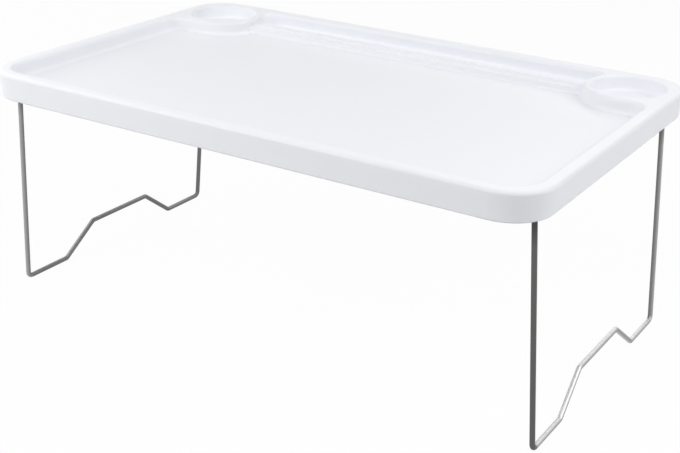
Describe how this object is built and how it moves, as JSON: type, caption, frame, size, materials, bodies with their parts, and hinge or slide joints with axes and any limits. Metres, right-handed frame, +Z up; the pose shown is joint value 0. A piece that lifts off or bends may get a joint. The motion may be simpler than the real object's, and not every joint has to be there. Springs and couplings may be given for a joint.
{
  "type": "bed tray table",
  "caption": "Moulded rectangular bed tray with corner cup wells, a stepped ridge and a pen trough, standing on bent wire legs that fold flat beneath it.",
  "frame": {"origin": "on the surface it stands on, under the middle of the tray", "axes": "+X along the tray to the right, +Y across it towards the cup rings and the pen trough, +Z up"},
  "size_m": [0.605, 0.3794, 0.246],
  "materials": {
    "tray_plastic": "glossy white",
    "clip_plastic": "satin white",
    "leg_wire": "satin grey",
    "screw_steel": "bright zinc"
  },
  "bodies": {
    "tray": {"tray": "tray_plastic", "right_front_clip": "clip_plastic", "right_front_screws": "screw_steel", "right_back_clip": "clip_plastic", "right_back_screws": "screw_steel", "left_front_clip": "clip_plastic", "left_front_screws": "screw_steel", "left_back_clip": "clip_plastic", "left_back_screws": "screw_steel"},
    "right_leg": {"right_leg": "leg_wire"},
    "left_leg": {"left_leg": "leg_wire"}
  },
  "joints": [
    {"name": "right_leg_fold", "type": "hinge", "parent": "tray", "child": "right_leg", "pos_m": [0.2845, -0.004, 0.2237], "axis": [0, 1, 0], "range_deg": [0, 94]},
    {"name": "left_leg_fold", "type": "hinge", "parent": "tray", "child": "left_leg", "pos_m": [-0.2845, -0.004, 0.2237], "axis": [0, -1, 0], "range_deg": [0, 94]}
  ]
}
